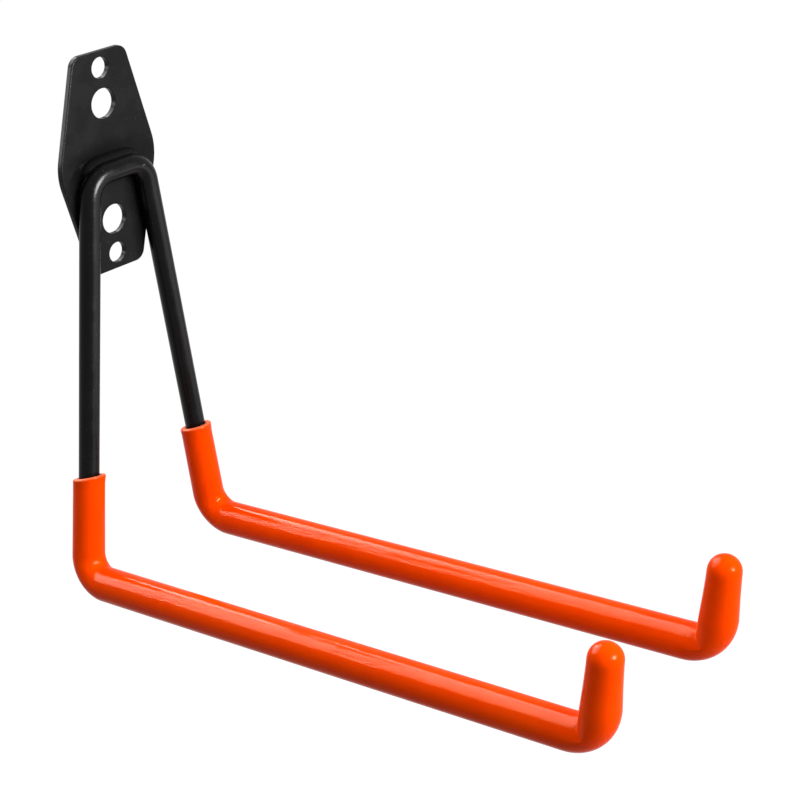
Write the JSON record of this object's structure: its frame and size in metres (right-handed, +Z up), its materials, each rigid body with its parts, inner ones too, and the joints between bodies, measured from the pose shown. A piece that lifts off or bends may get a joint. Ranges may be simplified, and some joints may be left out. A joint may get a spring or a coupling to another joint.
{
  "type": "double arm wall hook",
  "caption": "Wall hook: a drilled steel plate with a welded bent rod whose long arms and upturned tips carry soft sleeves.",
  "frame": {"origin": "centre of the plate's back face, where it meets the wall", "axes": "+Y into the wall, +Z up, +X to the right for someone who faces the wall; the arms reach out along -Y"},
  "size_m": [0.0822, 0.2579, 0.2087],
  "materials": {
    "black_steel": "satin black powder coat",
    "orange_vinyl": "glossy soft vinyl"
  },
  "bodies": {
    "root": {"back_plate": "black_steel", "hook_rod": "black_steel", "weld_bead": "black_steel", "left_sleeve": "orange_vinyl", "right_sleeve": "orange_vinyl"}
  },
  "joints": []
}
